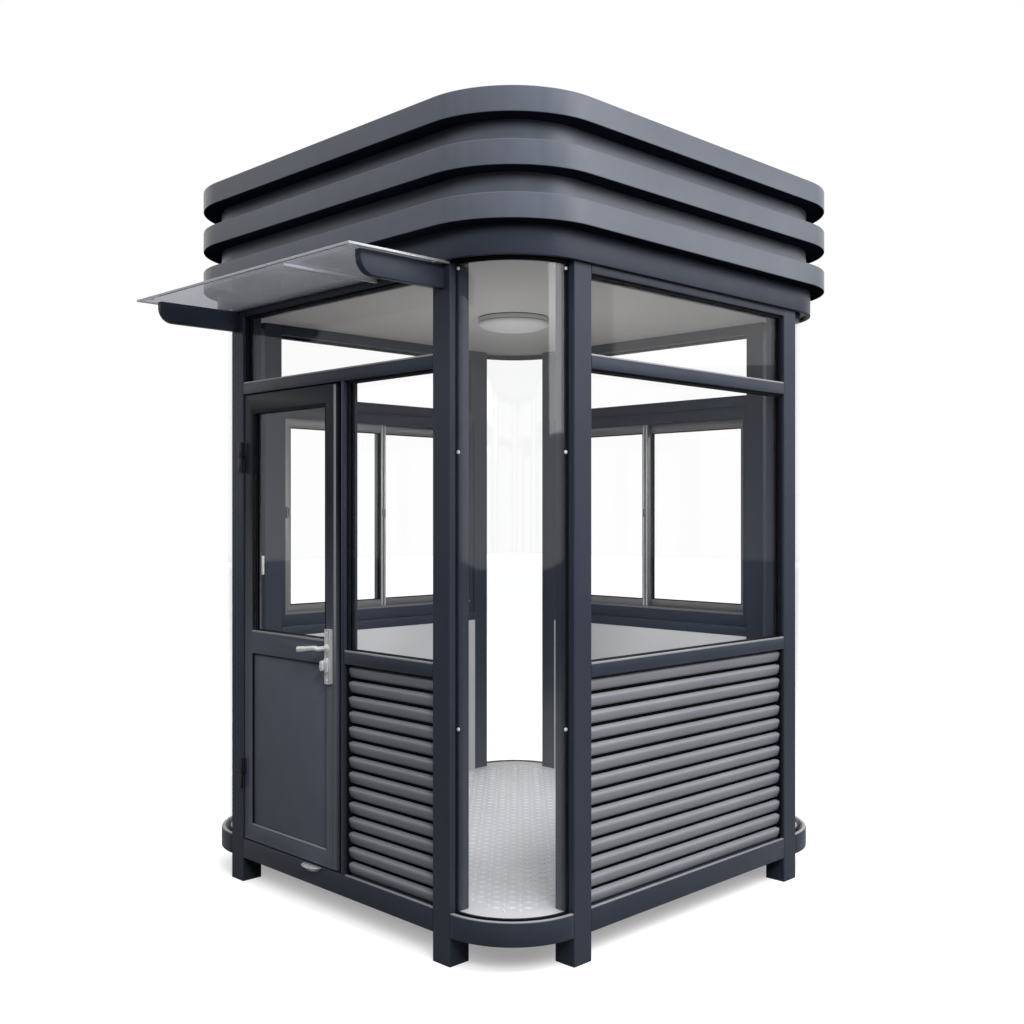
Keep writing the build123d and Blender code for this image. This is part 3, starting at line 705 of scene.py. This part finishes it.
def make_louvres():
    """The louvre beside the door, and one pattern that is copied to the other three walls."""
    front = make_slats("front_louvre_slats", SIDE_BAY)
    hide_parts("front_louvre")
    hand_over(front, slat_paint, smooth=50)
    # The black channels and sheet are painted shade round and behind the slats.
    hand_over(make_shade_channels("front_louvre_shade_channels", SIDE_BAY), rubber_and_painted_shade)
    hand_over(make_shade_screen("front_louvre_shade_screen", SIDE_BAY), rubber_and_painted_shade)
    slats = make_slats("slats", WHOLE_BAY)
    shade_channels = make_shade_channels("shade_channels", WHOLE_BAY)
    shade_screen = make_shade_screen("shade_screen", WHOLE_BAY)
    for wall, turn in WALLS.items():
        own = copy_turned(slats, wall + "_louvre_slats", turn)
        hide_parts(wall + "_louvre")
        hand_over(own, slat_paint, smooth=50)
        hand_over(copy_turned(shade_channels, wall + "_louvre_shade_channels", turn), rubber_and_painted_shade)
        hand_over(copy_turned(shade_screen, wall + "_louvre_shade_screen", turn), rubber_and_painted_shade)
    remove(slats, shade_channels, shade_screen)


# ------------ glass edges

# Depths from the wall's face of the gaskets in front of a fixed pane and behind it
PANE_GASKETS = ((0.014, 0.024), (0.032, 0.046))
GASKET_WIDTH = 0.009


def add_gaskets(name, bay, height):
    return join(name, [add_ring(name, bay, height, depth, GASKET_WIDTH) for depth in PANE_GASKETS])


def make_gaskets():
    """Black gaskets on both faces of each fixed pane."""
    for name, bay, turn in (("side_window_gasket", SIDE_BAY, 0), ("right_window_gasket", WHOLE_BAY, 90)):
        gasket = add_gaskets(name, bay, (SILL_TOP, TRANSOM_BOTTOM))
        gasket.rotation_euler.z = radians(turn)
        hand_over(named(name), rubber_and_painted_shade)
    name = "clerestory_gaskets"
    hand_over(on_all_walls(name, add_gaskets(name, WHOLE_BAY, (TRANSOM_TOP, HEAD_BOTTOM))), rubber_and_painted_shade)


def make_corner_seals():
    """Black seals round the bent panes: along both posts, on the base and under the ceiling."""
    name = "corner_glass_seals"
    outer, inner = CORNER_GLASS + 0.002, CORNER_GLASS - 0.010
    foot = add_corner_strip(name, (inner, outer), (BASE_TOP, BASE_TOP + 0.006))
    head = add_corner_strip(name, (inner, outer), (HEAD_BOTTOM + 0.020, CEILING_UNDER))
    near = add_block(name, (POST_OUT, -POST_OUT - outer, BASE_TOP),
                     (POST_OUT + 0.003, -POST_OUT - inner, CEILING_UNDER), 0.0010)
    far = add_block(name, (POST_OUT + inner, -POST_OUT - 0.003, BASE_TOP),
                    (POST_OUT + outer, -POST_OUT, CEILING_UNDER), 0.0010)
    hand_over(on_all_walls(name, join(name, [foot, head, near, far])), rubber_and_painted_shade)


# Inner radius of the floor's strips along the bent panes
STRIP_START = 0.190


def make_beads():
    """Slim bright beads in front of the panes and louvres, at the foot of each opening; their light coat is
    partly a painted highlight.
    """
    feet = (("sill_beads", SILL_TOP, 0.0065, {"front": SIDE_BAY, "right": WHOLE_BAY}),
            ("transom_beads", TRANSOM_TOP, 0.0065, dict.fromkeys(("front", *WALLS), WHOLE_BAY)),
            ("base_beads", BASE_TOP, 0.0040, {"front": SIDE_BAY, **dict.fromkeys(WALLS, WHOLE_BAY)}))
    for name, foot, height, bays in feet:
        beads = []
        for wall, bay in bays.items():
            bead = add_block(name, (bay[0] + 0.001, 0.001 - FACE, foot),
                             (bay[1] - 0.001, 0.013 - FACE, foot + height), 0.0012)
            bead.rotation_euler.z = radians(WALLS.get(wall, 0))
            take(bead)
            beads.append(named(name))
        hand_over(join(name, beads), bead_coat_and_painted_highlight)
    for name, radii, height, width, finish, slot in (
            ("corner_beads", (CORNER_GLASS + 0.012, CORNER_GLASS + 0.026), (BASE_TOP, BASE_TOP + 0.003),
             0.0008, bead_coat_and_painted_highlight, "window_aluminium"),
            ("corner_floor_strips", (STRIP_START, CORNER_GLASS - 0.011), (BASE_TOP - 0.001, BASE_TOP + 0.002),
             0.0006, plate, "floor_aluminium")):
        strip = add_corner_strip(name, radii, height)
        soften(strip, width, 1)
        hand_over(on_all_walls(name, strip), finish)


BUTTON_RADIUS = 0.0068
BUTTON_ANGLES = (-87.2, -2.8)
BUTTON_HEIGHTS = (2.385, 1.757, 0.81)


def make_glass_buttons():
    """The polished buttons that hold the bent panes beside the posts."""
    seats = []
    for turn in (0, 90, 180, 270):
        for angle in BUTTON_ANGLES:
            way = (cos(radians(angle)), sin(radians(angle)), 0)
            for height in BUTTON_HEIGHTS:
                place = (POST_OUT + CORNER_GLASS * way[0], -POST_OUT + CORNER_GLASS * way[1], height)
                seats.append((turned(place, turn), turned(way, turn)))
    hand_over(set_bolts("glass_buttons", BUTTON_RADIUS, seats), bright_metal, smooth=60)


# ------------ door

def make_door_beads():
    """Black beads and gaskets round the door's glass and its panel, the beads partly painted shade in the
    reveals, and a bright bead at each foot, partly a painted highlight.
    """
    leaf_low, leaf_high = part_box("door_leaf")
    for node, width, foot in (("door_glass", 0.010, 0.0095), ("door_panel", 0.004, 0.0060)):
        low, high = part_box(node)
        x, z = (low.x, high.x), (low.z, high.z)
        outside = (leaf_low.y + FACE - 0.001, low.y + FACE)
        inside = (high.y + FACE, leaf_high.y + FACE + 0.001)
        name = node + "_beads"
        beads = [add_ring(name, x, z, (outside[0] + 0.002, outside[1] - 0.003), width),
                 add_ring(name, x, z, (inside[0] + 0.003, inside[0] + 0.008), width * 0.7)]
        # The black beads stand partly for the shade in the reveals round the glass and the panel.
        hand_over(join(name, beads), rubber_and_painted_shade, body="door")
        strip = add_block(node + "_foot_bead", (x[0] + 0.001, leaf_low.y - 0.0012, z[0] - 0.001),
                          (x[1] - 0.001, leaf_low.y + 0.008, z[0] - 0.001 + foot), 0.0012)
        hand_over(strip, bead_coat_and_painted_highlight, "door")
        name = node + "_gaskets"
        gaskets = [add_ring(name, x, z, (outside[1] - 0.0035, outside[1]), width + 0.002, 0.0006),
                   add_ring(name, x, z, (inside[0], inside[0] + 0.0035), width + 0.002, 0.0006)]
        hand_over(join(name, gaskets), rubber_and_painted_shade, body="door")


def make_door_panel():
    """The door's lower panel, a flat sheet with its edges folded back a little."""
    low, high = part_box("door_panel")
    panel = add_block("door_panel_sheet", low, high)
    for outward in (-1, 1):
        pick_facing(panel, (0, outward, 0))
        bpy.ops.mesh.inset(thickness=0.005)
        move(0, outward * 0.0015, 0)
        leave_edit()
    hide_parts("door_panel")
    hand_over(panel, door_paint, "door", smooth=20)


# Front and back of the seal on the door stop
STOP_SEAL = (-0.9485, -0.9455)


def make_door_edges():
    """A rounded cover strip down the leaf's lock edge, its light coat a painted highlight, a strip at its
    foot, and the door stop's seal.
    """
    low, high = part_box("door_leaf")
    strip = add_block("door_edge_strip", (high.x - 0.0135, low.y - 0.0035, low.z + 0.003),
                      (high.x - 0.0010, low.y + 0.0100, high.z - 0.003), 0.0030, 4)
    hand_over(strip, edge_coat_painted_highlight, "door")
    foot = add_block("door_foot_strip", (low.x + 0.004, low.y - 0.001, low.z + 0.001),
                      (high.x - 0.004, low.y + 0.001, low.z + 0.014))
    press(foot, (0, -1, 0), (0.004, -0.0006))
    hand_over(foot, door_paint, "door")
    front, back = STOP_SEAL
    seal = add_block("door_stop_seal", (-POST_IN + 0.002, front, BASE_TOP + 0.001),
                     (-POST_IN + 0.012, back, TRANSOM_BOTTOM - 0.002), 0.0012)
    hand_over(seal, rubber_and_painted_shade)


KEY_DROP = 0.066
# Radius of each step of the key guard, half its straight part, and the depths where it starts and ends
KEY_GUARD = ((0.0135, 0.016, 0.0145, 0.0225), (0.0110, 0.009, 0.0220, 0.0435))


def make_lock_plates():
    """Tall lock cases with a framed cover, a rose round the lever's neck and an oval key guard below."""
    low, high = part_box("lock_plates")
    leaf_low, leaf_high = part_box("door_leaf")
    lever_low, lever_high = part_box("lever_handle")
    height = (lever_low.z + lever_high.z) / 2
    middle = (low.x + high.x) / 2
    key = height - KEY_DROP
    for name, face, outward, end in (("outer_lock_plate", leaf_low.y, -1, low.y),
                                     ("inner_lock_plate", leaf_high.y, 1, high.y)):
        depth = sorted((face, face + outward * 0.015))
        case = add_block(name, (low.x, depth[0], low.z), (high.x, depth[1], high.z))
        pick(case, "EDGE", lambda edge: along(case, edge, 1))
        bpy.ops.mesh.bevel(offset=0.0035, segments=4, affect="EDGES")
        leave_edit()
        press(case, (0, outward, 0), (0.0030, -0.0030), (0.0022, 0.0030))
        soften(case, 0.0008)
        rose = add_round(name, (middle, face + outward * 0.0165, height), "Y", 0.0145, 0.005, 32)
        soften(rose, 0.0015)
        parts = [case, rose]
        for radius, tall, start, finish in KEY_GUARD:
            guard = add_round(name, (middle, face + outward * (start + finish) / 2, key), "Y", radius,
                              finish - start, 32)
            for way in (-1, 1):
                pick(guard, "VERT", lambda corner: (corner.co.z - key) * way > 0.001)
                move(0, 0, way * tall)
                leave_edit()
            soften(guard, 0.0022, 3)
            parts.append(guard)
        barrel = add_round(name, (middle, end - outward * 0.0030, key), "Y", 0.0085, 0.006, 32)
        press(barrel, (0, outward, 0), (0.0018, -0.0008))
        keyway = add_block(name, (middle - 0.0012, end - outward * 0.0012 - 0.0006, key - 0.0045),
                           (middle + 0.0012, end - outward * 0.0012 + 0.0006, key + 0.0045))
        screws = set_bolts(name, 0.0036, [((middle, face + outward * 0.0148, z), (0, outward, 0))
                                          for z in (low.z + 0.014, high.z - 0.014)])
        piece = join(name, parts + [barrel, keyway, screws])
        if outward < 0:
            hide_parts("lock_plates")
        hand_over(piece, steel, "door")


def along(piece, edge, axis):
    """True where an edge runs along an axis."""
    start, end = (piece.data.vertices[i].co for i in edge.vertices)
    way = (end - start).normalized()
    return abs(way[axis]) > 0.99


# Length of each step of the grip, its droop and its growth in height
GRIP_STEPS = ((0.010, 0.0, 0.94), (0.028, 0.004, 1.0), (0.032, 0.004, 1.12),
              (0.026, 0.003, 1.10), (0.015, 0.001, 1.0), (0.004, 0.0, 0.90))


def make_levers():
    """Two levers on one spindle, each with a soft, slightly drooping grip."""
    low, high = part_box("lever_handle")
    height = (low.z + high.z) / 2
    middle = high.x - 0.009
    parts = [add_round("lever_set", (middle, (low.y + high.y) / 2, height), "Y", 0.0088,
                       high.y - low.y - 0.018, 28)]
    soften(parts[0], 0.001)
    for end, outward in ((low.y, -1), (high.y, 1)):
        depth = sorted((end, end - outward * 0.0165))
        grip = add_block("lever_set", (middle - 0.012, depth[0], height - 0.0090),
                         (middle + 0.010, depth[1], height + 0.0130))
        x, z = middle - 0.012, height + 0.002
        for step, drop, growth in GRIP_STEPS:
            pick(grip, "FACE", lambda face: face.normal.x < -0.6)
            pull(-step, 0, -drop)
            x, z = x - step, z - drop
            resize((1, 1, growth), (x, sum(depth) / 2, z))
            leave_edit()
        pick(grip, "FACE", lambda face: face.normal.x < -0.6)
        bpy.ops.mesh.inset(thickness=0.003)
        leave_edit()
        apply_modifier(grip, "SUBSURF", levels=2, render_levels=2)
        parts.append(grip)
    piece = join("lever_set", parts)
    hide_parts("lever_handle")
    hand_over(piece, steel, "lever", smooth=60)


HINGE_HALF = 0.063
HINGE_PLAY = 0.0003


def make_hinges():
    """Lift-off hinges: capped knuckles, with painted flaps screwed to the post and the leaf."""
    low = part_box("hinge_posts")[0]
    leaf_low, leaf_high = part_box("hinge_leaves")
    half = HINGE_HALF
    bottoms = (low.z, leaf_high.z - 2 * half)
    x, y = (leaf_low.x + 0.010, leaf_low.y + 0.010)
    for name, flap_name, node, body, lift, cap_way in (
            ("hinge_lower_knuckles", "hinge_post_flaps", "hinge_posts", "booth", 0.0, -1),
            ("hinge_upper_knuckles", "hinge_leaf_flaps", "hinge_leaves", "door", half + HINGE_PLAY, 1)):
        knuckles, flaps = [], []
        for bottom in bottoms:
            start = bottom + lift
            end = bottom + half if cap_way < 0 else bottom + 2 * half
            knuckle = add_round(name, (x, y, (start + end) / 2), "Z", 0.0098, end - start, 28)
            press(knuckle, (0, 0, cap_way), (0.0022, -0.0012), (0.0015, 0.0012))
            soften(knuckle, 0.0007)
            knuckles.append(knuckle)
            if cap_way < 0:
                web = add_block(name, (x - 0.0105, y + 0.004, start + 0.001),
                                (x, -FACE - 0.0005, end - 0.001), 0.001)
                flap = add_block(flap_name, (x - 0.0185, -FACE - 0.0025, bottom),
                                 (x - 0.0065, -FACE, bottom + 2 * half), 0.0008)
            else:
                web = add_block(name, (x, y + 0.004, start + 0.001),
                                (x + 0.0105, -FACE + 0.004, end - 0.001), 0.001)
                flap = add_block(flap_name, (x + 0.005, -FACE + 0.0025, start),
                                 (x + 0.0185, -FACE + 0.005, end), 0.0008)
            knuckles.append(web)
            flaps.append(flap)
        piece = join(name, knuckles)
        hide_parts(node)
        hand_over(piece, hinge_black, body)
        hand_over(join(flap_name, flaps), paint, body)


def make_door_catch():
    """An oval pad with a groove round its top."""
    low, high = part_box("door_catch")
    middle = (low.x + high.x) / 2
    clear_selection()
    bpy.ops.mesh.primitive_cylinder_add(vertices=64, radius=1, depth=high.z - low.z,
                                        location=(middle, high.y, (low.z + high.z) / 2))
    bpy.context.object.scale = ((high.x - low.x) / 2, high.y - low.y, 1)
    pad = named("door_catch_pad")
    edit_all(pad)
    bpy.ops.mesh.bisect(plane_co=(0, high.y, 0), plane_no=(0, 1, 0), clear_outer=True, use_fill=True)
    leave_edit()
    pick_facing(pad, (0, 0, -1))
    resize((0.6, 0.5, 1), (middle, high.y, low.z))
    leave_edit()
    press(pad, (0, 0, 1), (0.005, -0.002), (0.003, 0.0018))
    soften(pad, 0.0018, 3)
    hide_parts("door_catch")
    hand_over(pad, steel)


# ------------ sliding windows

SASH_STILE = 0.032
# Depths of the outer sash and the inner one from the wall's face
OUTER_SASH, INNER_SASH = (0.019, 0.043), (0.047, 0.071)
PULL_HEIGHTS = (1.530, 1.580)
LATCH_HEIGHTS = (1.535, 1.575)


def make_sliding_details():
    """Tracks, pane gaskets, meeting strips and pulls of the two sliding windows."""
    sash_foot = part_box("back_window_sashes")[0].z
    sash_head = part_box("back_window_sashes")[1].z
    pane_foot, pane_head = (corner.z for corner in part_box("back_window_panes"))
    stile, outer, inner = SASH_STILE, OUTER_SASH, INNER_SASH
    edge = POST_IN - 0.026
    tracks = join("tracks", [
        add_block("tracks", (start, near - FACE, sash_foot - 0.001), (end, far - FACE, sash_foot + rise),
                  0.0008, 1)
        for start, end, near, far, rise in ((stile / 2, edge, 0.029, 0.033, 0.007),
                                            (-edge, -stile / 2, 0.057, 0.061, 0.007),
                                            (-edge, edge, 0.0755, 0.079, 0.010))])
    strips = join("strips", [
        add_block("strips", (left, near - FACE, sash_foot + 0.001),
                  (right, far - FACE, sash_head - 0.001), soft)
        for left, right, near, far, soft in (
            (-0.0125, -0.0125 + 0.006, inner[1] - 0.0005, inner[1] + 0.0025, 0.0012),
            (0.0065, 0.0065 + 0.006, inner[1] - 0.0005, inner[1] + 0.0025, 0.0012),
            (-0.0145, 0.0145, outer[0] - 0.002, outer[0] + 0.0005, 0.0008))])
    gaskets = []
    for reach, depth in (((-edge + stile, -stile / 2), outer), ((stile / 2, edge - stile), inner)):
        for span in ((depth[0] + 0.001, depth[0] + 0.009), (depth[1] - 0.009, depth[1] - 0.001)):
            gaskets.append(add_ring("pane_gaskets", reach, (pane_foot, pane_head), span, 0.004, 0.0006))
    gaskets = join("pane_gaskets", gaskets)
    pulls = []
    for x, depth in ((-edge + 0.016, outer[0]), (edge - 0.016, inner[1])):
        outward = -1 if depth == outer[0] else 1
        span = sorted((depth, depth + outward * 0.009))
        handle = add_block("pulls", (x - 0.008, span[0] - FACE, PULL_HEIGHTS[0]),
                           (x + 0.008, span[1] - FACE, PULL_HEIGHTS[1]))
        press(handle, (0, outward, 0), (0.004, -0.006))
        soften(handle, 0.0015)
        pulls.append(handle)
    latch = add_block("pulls", (-0.009, inner[1] + 0.002 - FACE, LATCH_HEIGHTS[0]),
                      (0.009, inner[1] + 0.010 - FACE, LATCH_HEIGHTS[1]), 0.003, 3)
    pulls = join("pulls", pulls + [latch])
    for wall in ("back", "left"):
        turn = WALLS[wall]
        hand_over(copy_turned(tracks, wall + "_window_tracks", turn), window_metal)
        hand_over(copy_turned(strips, wall + "_meeting_strips", turn), bright_metal)
        hand_over(copy_turned(gaskets, wall + "_pane_gaskets", turn), rubber_and_painted_shade)
        hand_over(copy_turned(pulls, wall + "_window_pulls", turn), window_metal)
    remove(tracks, strips, gaskets, pulls)


# ------------ inside

LAMP_SIDES = 72


def make_ceiling_lamp():
    """A round lamp: a white rim between two dark joints, and an opal cover."""
    low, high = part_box("ceiling_lamp")
    x, y, radius = (low.x + high.x) / 2, (low.y + high.y) / 2, (high.x - low.x) / 2
    name = "ceiling_lamp_joints"
    joints = [add_round(name, (x, y, z), "Z", radius - 0.002, 0.004, LAMP_SIDES)
              for z in (high.z - 0.002, low.z + 0.005)]
    for joint in joints:
        soften(joint, 0.0006, 1)
    hand_over(join(name, joints), rubber_and_painted_shade)
    rim = add_round("ceiling_lamp_rim", (x, y, (low.z + 0.0068 + high.z - 0.0038) / 2), "Z", radius,
                    high.z - low.z - 0.0106, LAMP_SIDES)
    soften(rim, 0.0015)
    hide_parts("ceiling_lamp")
    hand_over(rim, lamp_white)
    cover = add_round("ceiling_lamp_cover", (x, y, low.z + 0.002), "Z", radius - 0.0005, 0.004, LAMP_SIDES)
    pick_facing(cover, (0, 0, -1))
    for share, drop in ((0.97, 0.008), (0.90, 0.009), (0.75, 0.008), (0.45, 0.005)):
        pull(0, 0, -drop)
        resize((share, share, 1), (x, y, low.z))
    leave_edit()
    hand_over(cover, lamp_opal)


def make_light_switch():
    """A frame with a sunk face and a rocker in it."""
    low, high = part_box("light_switch")
    switch = add_block("light_switch_plate", low, high)
    press(switch, (0, -1, 0), (0.007, -0.0025))
    soften(switch, 0.0012)
    middle = (low.z + high.z) / 2
    rocker = add_block("light_switch_rocker", (low.x + 0.0075, low.y + 0.0008, low.z + 0.0075),
                       (high.x - 0.0075, low.y + 0.004, high.z - 0.0075))
    edit_all(rocker)
    bpy.ops.mesh.bisect(plane_co=(0, 0, middle), plane_no=(0, 0, 1))
    leave_edit()
    pick(rocker, "VERT", lambda corner: corner.co.z > middle + 0.001 and corner.co.y < low.y + 0.002)
    move(0, -0.0005, 0)
    leave_edit()
    soften(rocker, 0.0006)
    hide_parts("light_switch")
    hand_over(switch, switch_white)
    hand_over(rocker, switch_white)


TREAD_PITCH = 0.040
TREAD_EDGE = 0.875
TREAD_HALF_SIZE = (0.0175, 0.0085)


def make_floor_treads():
    """Raised lozenges on the floor plate that lean left and right by turns."""
    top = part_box("floor_plate")[1].z
    name = "floor_treads"
    row = []
    count = int(TREAD_EDGE / TREAD_PITCH)
    start = -count * TREAD_PITCH
    for number, lean in ((0, 45), (1, -45)):
        clear_selection()
        bpy.ops.mesh.primitive_cylinder_add(vertices=4, radius=1, depth=0.004, location=(0, 0, top + 0.0003))
        bpy.context.object.scale = (*TREAD_HALF_SIZE, 1)
        tread = named(name)
        pick_facing(tread, (0, 0, 1))
        resize((0.72, 0.6, 1), (0, 0, top))
        leave_edit()
        tread.rotation_euler.z = radians(lean)
        tread.location = (start + number * TREAD_PITCH, start, 0)
        take(tread)
        row.append(named(name))
    row = join(name, row)
    repeat(row, count + 1, x=2 * TREAD_PITCH)
    take(row)
    bpy.ops.object.duplicate()
    bpy.context.object.location = (TREAD_PITCH, TREAD_PITCH, 0)
    second = named(name)
    treads = join(name, [row, second])
    repeat(treads, count + 1, y=2 * TREAD_PITCH)

    def outside(corner):
        x, y = (abs(round(value / TREAD_PITCH) * TREAD_PITCH) for value in corner.co[:2])
        past = hypot(max(x - POST_OUT, 0), max(y - POST_OUT, 0))
        return past > TREAD_EDGE - POST_OUT

    pick(treads, "VERT", outside)
    bpy.ops.mesh.delete(type="VERT")
    leave_edit()
    hand_over(treads, tread_metal, smooth=20)


# ------------ awning and roof

def make_awning_details():
    """Trims round the sheet, a rail at the wall, the rib's hollow strip and the bolts."""
    low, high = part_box("awning_sheet")
    trims = [add_block("awning_trims", (left, near, low.z - 0.002), (right, far, high.z + 0.0015), 0.0015)
             for left, right, near, far in ((low.x, high.x, low.y, low.y + 0.010),
                                            (high.x - 0.010, high.x, low.y + 0.009, high.y),
                                            (low.x, low.x + 0.010, low.y + 0.009, high.y))]
    hand_over(join("awning_trims", trims), bright_metal)
    rail = add_block("awning_wall_rail", (low.x + 0.012, high.y - 0.020, high.z),
                     (high.x - 0.012, high.y, high.z + 0.003), 0.0012)
    hand_over(rail, rubber_and_painted_shade)
    arm = (POST_IN + POST_OUT) / 2
    rib_low, rib_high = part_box("awning_rib")
    rib = add_block("awning_rib_strip", rib_low, rib_high)
    press(rib, (0, 0, -1), (0.002, -0.001))
    soften(rib, 0.001)
    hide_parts("awning_rib")
    hand_over(rib, bright_metal)
    middle = (rib_low.x + rib_high.x) / 2
    seats = [((x, y, high.z - 0.0005), (0, 0, 1))
             for x in (-arm, middle, arm) for y in (low.y + 0.034, high.y - 0.030)]
    hand_over(set_bolts("awning_bolts", 0.0085, seats), bright_metal, smooth=60)


SEAM_PLACES = (-0.48, -0.16, 0.16, 0.48)
SEAM_REACH = 0.95
# Inner and outer distance of the flashing from the line of the posts
FLASHING = (0.262, 0.2997)


def make_deck_seams():
    """Standing seams across the flat roof, and a flashing round it."""
    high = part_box("roof_deck")[1]
    seams = []
    for x in SEAM_PLACES:
        seam = add_block("roof_deck_seams", (x - 0.006, -SEAM_REACH, high.z - 0.001),
                         (x + 0.006, SEAM_REACH, high.z + 0.016))
        pick_facing(seam, (0, 0, 1))
        resize((0.6, 1, 1), (x, 0, high.z))
        leave_edit()
        soften(seam, 0.0015)
        seams.append(seam)
    hand_over(join("roof_deck_seams", seams), paint)
    name = "roof_flashing"
    inner, outer = FLASHING
    bend = add_corner_strip(name, FLASHING, (high.z - 0.001, high.z + 0.004))
    straight = add_block(name, (-POST_OUT, -POST_OUT - outer, high.z - 0.001),
                         (POST_OUT, -POST_OUT - inner, high.z + 0.004))
    hand_over(on_all_walls(name, join(name, [bend, straight])), paint)


make_eased_members()
make_louvres()
make_gaskets()
make_corner_seals()
make_beads()
make_glass_buttons()
make_door_beads()
make_door_panel()
make_door_edges()
make_lock_plates()
make_levers()
make_hinges()
make_door_catch()
make_sliding_details()
make_ceiling_lamp()
make_light_switch()
make_floor_treads()
make_awning_details()
make_deck_seams()

bpy.context.scene.view_settings.view_transform = "Standard"
